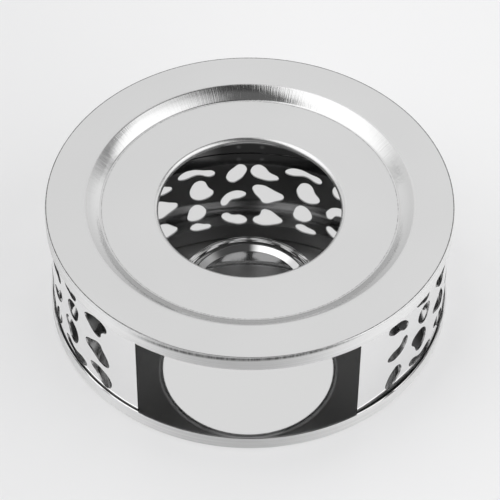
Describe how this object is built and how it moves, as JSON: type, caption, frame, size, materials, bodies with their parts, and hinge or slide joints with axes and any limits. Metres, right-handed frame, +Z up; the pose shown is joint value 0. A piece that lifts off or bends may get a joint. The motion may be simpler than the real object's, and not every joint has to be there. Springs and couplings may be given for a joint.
{
  "type": "teapot warmer",
  "caption": "Round steel teapot warmer: a stamped seat plate with a vent hole, a pebble-punched side band with a front window, and a shallow tray with a tea light seat.",
  "frame": {"origin": "on the table, under the middle of the tray", "axes": "+Z up; the window for the tea light faces -Y; +X to the right of someone facing the window"},
  "size_m": [0.13, 0.13, 0.0452],
  "materials": {
    "satin_steel": "satin stainless steel, fine draw marks on the step and the skirt",
    "band_steel": "mirror-polished stainless steel",
    "tray_steel": "mirror-polished stainless steel"
  },
  "bodies": {
    "root": {"top_plate": "satin_steel", "side_band": "band_steel", "base_tray": "tray_steel"}
  },
  "joints": []
}
